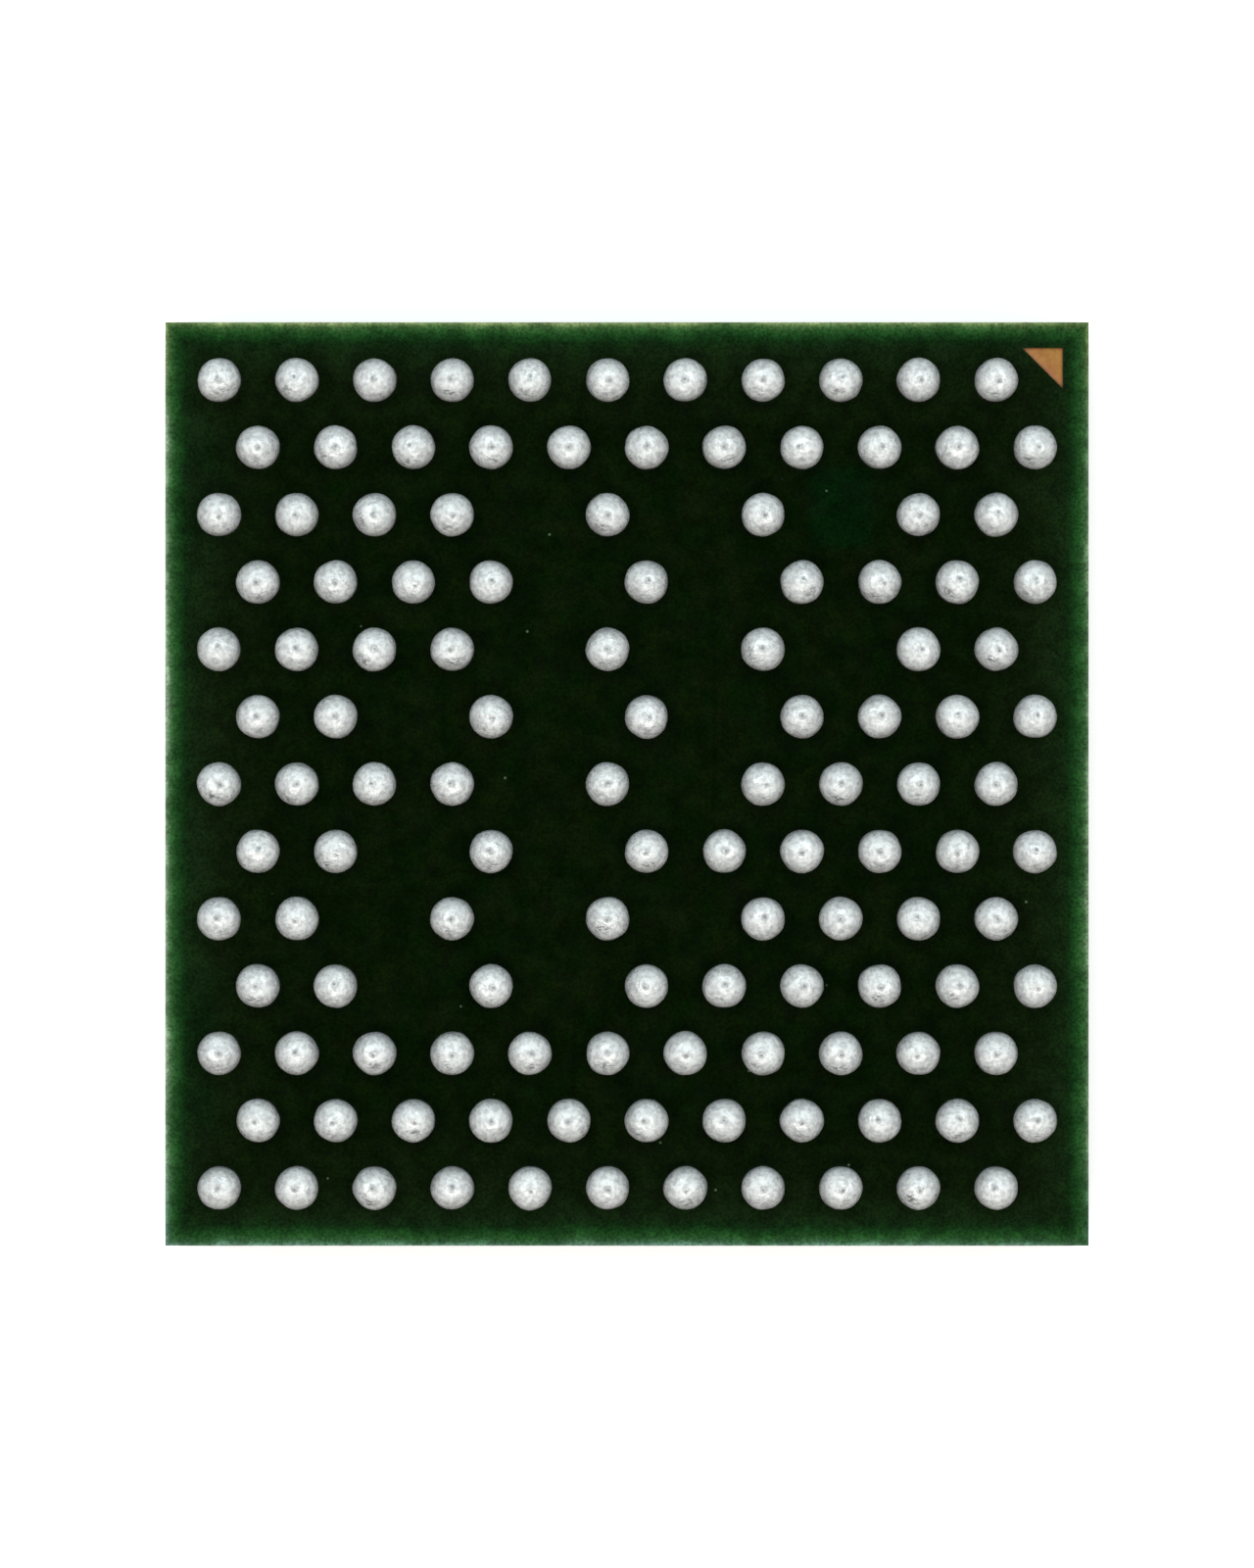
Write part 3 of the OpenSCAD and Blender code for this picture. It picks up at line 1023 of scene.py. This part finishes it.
@dataclass
class BallGrid:
    """The rows of solder balls, modelled with their dents and the test mark on each crest.

    The crinkled patch's place and size are degrees on the ball, and its spread from ball to ball is too.
    """

    rows: str = "abcdefghjklmn"
    steps: int = 36
    rings: int = 24
    crest_crowding: float = 1.5
    pole_width: float = 1e-6
    cut_tolerance: float = 1e-9
    swell: float = 6.0 * UM
    swell_scale: float = 9000.0
    dent: float = 1.5 * UM
    dent_scale: float = 26000.0
    dent_falloff: float = 0.8
    dent_step: float = 2.0
    dent_layers: int = 3
    skin_fade: float = 0.5
    mark_radius: float = 14 * UM
    mark_depth: float = 5.0 * UM
    mark_wander: float = 0.06
    # The crinkled patch faces the front of each ball; the solder finish greys it, partly as painted shade.
    crinkle_azimuth: float = 258.0
    crinkle_azimuth_spread: float = 22.0
    crinkle_tilt: float = 42.0
    crinkle_tilt_spread: float = 4.0
    crinkle_width: float = 14.0
    crinkle_length: float = 38.0
    crinkle_least: float = 0.2
    crinkle_rarity: float = 1.5
    seed: int = 41
    radius: float = field(init=False)
    crest_z: float = field(init=False)
    mask_z: float = field(init=False)
    land_z: float = field(init=False)
    chance: random.Random = field(init=False)

    def __post_init__(self) -> None:
        """Reads the balls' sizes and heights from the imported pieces."""
        low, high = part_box(f"ball_row_{self.rows[0]}")
        self.crest_z = high.z
        self.radius = (high.y - low.y) / 2
        self.land_z = low.z
        self.mask_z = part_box("outer_mask")[1].z
        self.chance = random.Random(self.seed)

    def build(self) -> None:
        """Builds one piece for each row."""
        for row in self.rows:
            node = f"ball_row_{row}"
            piece = self.row_piece(f"solder_balls_{row}", self.middles(node))
            piece.data.materials.append(Slot.SOLDER.material())
            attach(piece, BODY)
            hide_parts(node)
            log.info("%s: %d triangles", piece.name, sum(len(face.vertices) - 2 for face in piece.data.polygons))

    def middles(self, node: str) -> list[Vector]:
        """Finds the middle of each ball in a packed row from the gaps between the balls.

        Args:
            node: The row's name.

        Returns:
            The middles of its balls.
        """
        low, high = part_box(node)
        reaches = sorted(vertex.co.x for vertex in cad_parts[node].data.vertices)
        starts = [reaches[0]]
        ends = []
        for here, after in zip(reaches, reaches[1:]):
            if after - here > self.radius:
                ends.append(here)
                starts.append(after)
        ends.append(reaches[-1])
        level = self.crest_z - self.radius
        return [Vector(((start + end) / 2, (low.y + high.y) / 2, level)) for start, end in zip(starts, ends)]

    def row_piece(self, name: str, middles: list[Vector]) -> bpy.types.Object:
        """Builds the balls of one row as one piece.

        Args:
            name: The piece's name.
            middles: The middles of its balls.

        Returns:
            The new piece.
        """
        shape = bmesh.new()
        shape.verts.layers.float.new(Solder.mark)
        shape.verts.layers.float.new(Solder.crinkle)
        for middle in middles:
            self.add_ball(shape, middle)
        for face in shape.faces:
            face.smooth = True
        return linked(name, shape)

    def add_ball(self, shape: bmesh.types.BMesh, middle: Vector) -> None:
        """Adds one ball, with its dents, and the plug that fills the opening in the mask.

        Args:
            shape: The mesh of the row.
            middle: The middle of the ball.
        """
        made = bmesh.ops.create_uvsphere(shape, u_segments=self.steps, v_segments=self.rings, radius=1.0)
        verts = made["verts"]
        marked = shape.verts.layers.float[Solder.mark]
        crinkled = shape.verts.layers.float[Solder.crinkle]
        turn = Matrix.Rotation(self.chance.uniform(0, math.tau), 3, "Z")
        lean_x, lean_y = [self.chance.gauss(0, self.mark_wander) for _ in range(2)]
        mark = Vector((lean_x, lean_y, 1)).normalized()
        azimuth = self.crinkle_azimuth + self.chance.gauss(0, self.crinkle_azimuth_spread)
        tilt = self.crinkle_tilt + self.chance.gauss(0, self.crinkle_tilt_spread)
        share = self.crinkle_least + (1 - self.crinkle_least) * self.chance.random() ** self.crinkle_rarity
        crest_skin = self.skin(middle, Vector((0, 0, 1)))
        for vert in verts:
            way = self.crowded(turn @ vert.co)
            vert[crinkled] = share * self.share_of_crinkle(way, azimuth, tilt)
            vert[marked] = self.depth_in_mark(way, mark)
            skin = self.skin(middle, way) - crest_skin * max(0.0, way.z)
            vert.co = middle + way * (self.radius + skin - vert[marked] * self.mark_depth)
            vert.co.z = min(vert.co.z, self.crest_z)
        self.seat(shape, verts)

    def seat(self, shape: bmesh.types.BMesh, verts: list[bmesh.types.BMVert]) -> None:
        """Cuts a ball off at the mask's face and draws the cut down to the land as a plug.

        Args:
            shape: The mesh of the row.
            verts: The ball's points.
        """
        edges = list({edge for vert in verts for edge in vert.link_edges})
        faces = list({face for vert in verts for face in vert.link_faces})
        cut = bmesh.ops.bisect_plane(
            shape, geom=verts + edges + faces, dist=self.cut_tolerance, plane_co=(0, 0, self.mask_z),
            plane_no=(0, 0, -1), clear_outer=True,
        )
        rim = [part for part in cut["geom_cut"] if isinstance(part, bmesh.types.BMEdge)]
        foot = bmesh.ops.edgeloop_fill(shape, edges=rim)["faces"]
        plug = bmesh.ops.extrude_face_region(shape, geom=foot)["geom"]
        low = [part for part in plug if isinstance(part, bmesh.types.BMVert)]
        bmesh.ops.translate(shape, verts=low, vec=(0, 0, self.land_z - self.mask_z))
        bmesh.ops.delete(shape, geom=foot, context="FACES_ONLY")

    def crowded(self, way: Vector) -> Vector:
        """Draws the rings of a sphere together towards the crest, where the small test mark is.

        Args:
            way: A direction from the ball's middle.

        Returns:
            The direction after the crowding.
        """
        level = Vector((way.x, way.y, 0))
        if level.length < self.pole_width:
            return way
        slant = math.pi * (slant_of(way) / math.pi) ** self.crest_crowding
        return level.normalized() * math.sin(slant) + Vector((0, 0, math.cos(slant)))

    def skin(self, middle: Vector, way: Vector) -> float:
        """Finds how far the skin stands out from a true ball.

        Args:
            middle: The middle of the ball.
            way: A direction from it.

        Returns:
            The height of the skin in that direction, in metres, fading out towards the mask.
        """
        place = middle + way * self.radius
        fade = max(0.0, min(1.0, (place.z - self.mask_z) / (self.radius * self.skin_fade)))
        swell = noise.noise(place * self.swell_scale) * self.swell
        dents = noise.fractal(place * self.dent_scale, self.dent_falloff, self.dent_step, self.dent_layers)
        return (swell + dents * self.dent) * fade

    def share_of_crinkle(self, way: Vector, azimuth: float, tilt: float) -> float:
        """Finds how crinkled the skin is.

        Args:
            way: A direction from the ball's middle.
            azimuth: Where the crinkled patch is around the ball, in degrees.
            tilt: How far down from the crest it is, in degrees.

        Returns:
            1 at the middle of the patch, and down to 0 away from it.
        """
        around = (math.degrees(math.atan2(way.y, way.x)) - azimuth + 180) % 360 - 180
        down = math.degrees(slant_of(way)) - tilt
        return math.exp(-(around / self.crinkle_length) ** 2 - (down / self.crinkle_width) ** 2)

    def depth_in_mark(self, way: Vector, mark: Vector) -> float:
        """Returns how deep in the test mark a direction is: 1 at its middle and 0 outside it."""
        off = way.angle(mark, 0.0) * self.radius / self.mark_radius
        return math.exp(-off * off)


def slant_of(way: Vector) -> float:
    """Returns the angle between a direction and straight up, in radians."""
    return math.acos(max(-1.0, min(1.0, way.z)))


def linked(name: str, shape: bmesh.types.BMesh) -> bpy.types.Object:
    """Turns a finished shape into an object of the scene.

    Args:
        name: The object's name.
        shape: The shape, which is freed.

    Returns:
        The new object.
    """
    mesh = bpy.data.meshes.new(name)
    shape.to_mesh(mesh)
    shape.free()
    made = bpy.data.objects.new(name, mesh)
    bpy.context.scene.collection.objects.link(made)
    return made


@dataclass(frozen=True)
class Softbox:
    """A square studio light that faces the middle of the part."""

    name: str
    azimuth: float
    elevation: float
    size: float
    power: float
    colour: tuple[float, float, float]
    distance: float = 0.12

    def build(self, aim: Vector) -> None:
        """Adds the light.

        Args:
            aim: The point that it faces.
        """
        data = bpy.data.lights.new(self.name, "AREA")
        data.shape = "SQUARE"
        data.size = self.size
        data.energy = self.power
        data.color = self.colour
        light = bpy.data.objects.new(self.name, data)
        turn, rise = math.radians(self.azimuth), math.radians(self.elevation)
        away = Vector((math.cos(turn) * math.cos(rise), math.sin(turn) * math.cos(rise), math.sin(rise)))
        light.location = aim + away * self.distance
        light.rotation_euler = away.to_track_quat("Z", "Y").to_euler()
        bpy.context.scene.collection.objects.link(light)


@dataclass
class Studio:
    """The pale floor, the soft lights and the camera that looks straight down."""

    floor_radius: float = 0.06
    floor_segments: int = 96
    floor_gap: float = 2 * UM
    lens: float = 150.0
    sensor: float = 36.0
    frame_share: float = 0.74
    image_aspect: float = 1280 / 1600
    clip_near: float = 1 / 50
    clip_far: float = 20.0
    world_light: float = 0.04
    world_pale: float = 1.0
    lights: int = 8
    ring_elevation: float = 50.0
    ring_size: float = 0.05
    ring_power: float = 0.031
    ring_red_cut: float = 0.13
    ring_blue_lift: float = 0.06
    ring_power_lift: float = 0.12
    key: Softbox = Softbox("key", 255.0, 56.0, 0.02, 0.014, (1.0, 0.99, 0.97))

    def build(self) -> None:
        """Builds the floor, the lights, the world and the camera."""
        self.build_floor()
        self.build_lights()
        self.build_world()
        self.build_camera()

    def build_floor(self) -> None:
        """Adds the round floor just under the part."""
        shape = bmesh.new()
        bmesh.ops.create_circle(shape, cap_ends=True, segments=self.floor_segments, radius=self.floor_radius)
        bmesh.ops.translate(shape, verts=shape.verts, vec=(0, 0, -self.floor_gap))
        floor = linked("floor", shape)
        floor.data.materials.append(StudioPaper("studio_paper").build())

    def build_lights(self) -> None:
        """Adds a ring of large softboxes, cooler behind the part and warmer in front, and one brighter light."""
        aim = Vector((0, 0, CAD_BOX[1][2]))
        for number in range(self.lights):
            azimuth = 360 / self.lights * (number + 0.5)
            behind = math.sin(math.radians(azimuth))
            colour = (1.0 - self.ring_red_cut * behind, 1.0, 1.0 + self.ring_blue_lift * behind)
            power = self.ring_power * (1 + self.ring_power_lift * behind)
            Softbox(f"ring_{number}", azimuth, self.ring_elevation, self.ring_size, power, colour).build(aim)
        self.key.build(aim)

    def build_world(self) -> None:
        """Sets a pale world that the camera sees and that lights the part only dimly."""
        world = bpy.data.worlds.new("studio")
        world.use_nodes = True
        world.node_tree.nodes.clear()
        graph = Graph(world.node_tree)
        seen = graph.node("ShaderNodeLightPath").outputs["Is Camera Ray"]
        strength = graph.node("ShaderNodeMapRange", None, {
            "Value": seen, "To Min": self.world_light, "To Max": self.world_pale,
        }).outputs["Result"]
        back = graph.node("ShaderNodeBackground", None, {"Color": WHITE, "Strength": strength})
        graph.node("ShaderNodeOutputWorld", inputs={"Surface": back.outputs["Background"]})
        bpy.context.scene.world = world

    def build_camera(self) -> None:
        """Adds a long-lens camera straight over the part."""
        low, high = (Vector(corner) for corner in CAD_BOX)
        data = bpy.data.cameras.new("camera")
        data.lens = self.lens
        data.sensor_width = self.sensor
        half_view = self.sensor / 2 / self.lens * self.image_aspect
        distance = (high.x - low.x) / 2 / self.frame_share / half_view
        data.clip_start = distance * self.clip_near
        data.clip_end = distance * self.clip_far
        camera = bpy.data.objects.new("camera", data)
        camera.location = ((low.x + high.x) / 2, (low.y + high.y) / 2, high.z + distance)
        bpy.context.scene.collection.objects.link(camera)
        bpy.context.scene.camera = camera
        bpy.context.scene.view_settings.view_transform = "Standard"


def main() -> None:
    """Builds and dresses the chip, then the studio."""
    logging.basicConfig(level=logging.INFO, format="%(message)s")
    MouldBlock().dress()
    Laminate().dress()
    BallGrid().build()
    Studio().build()


if __name__ == "__main__":
    main()
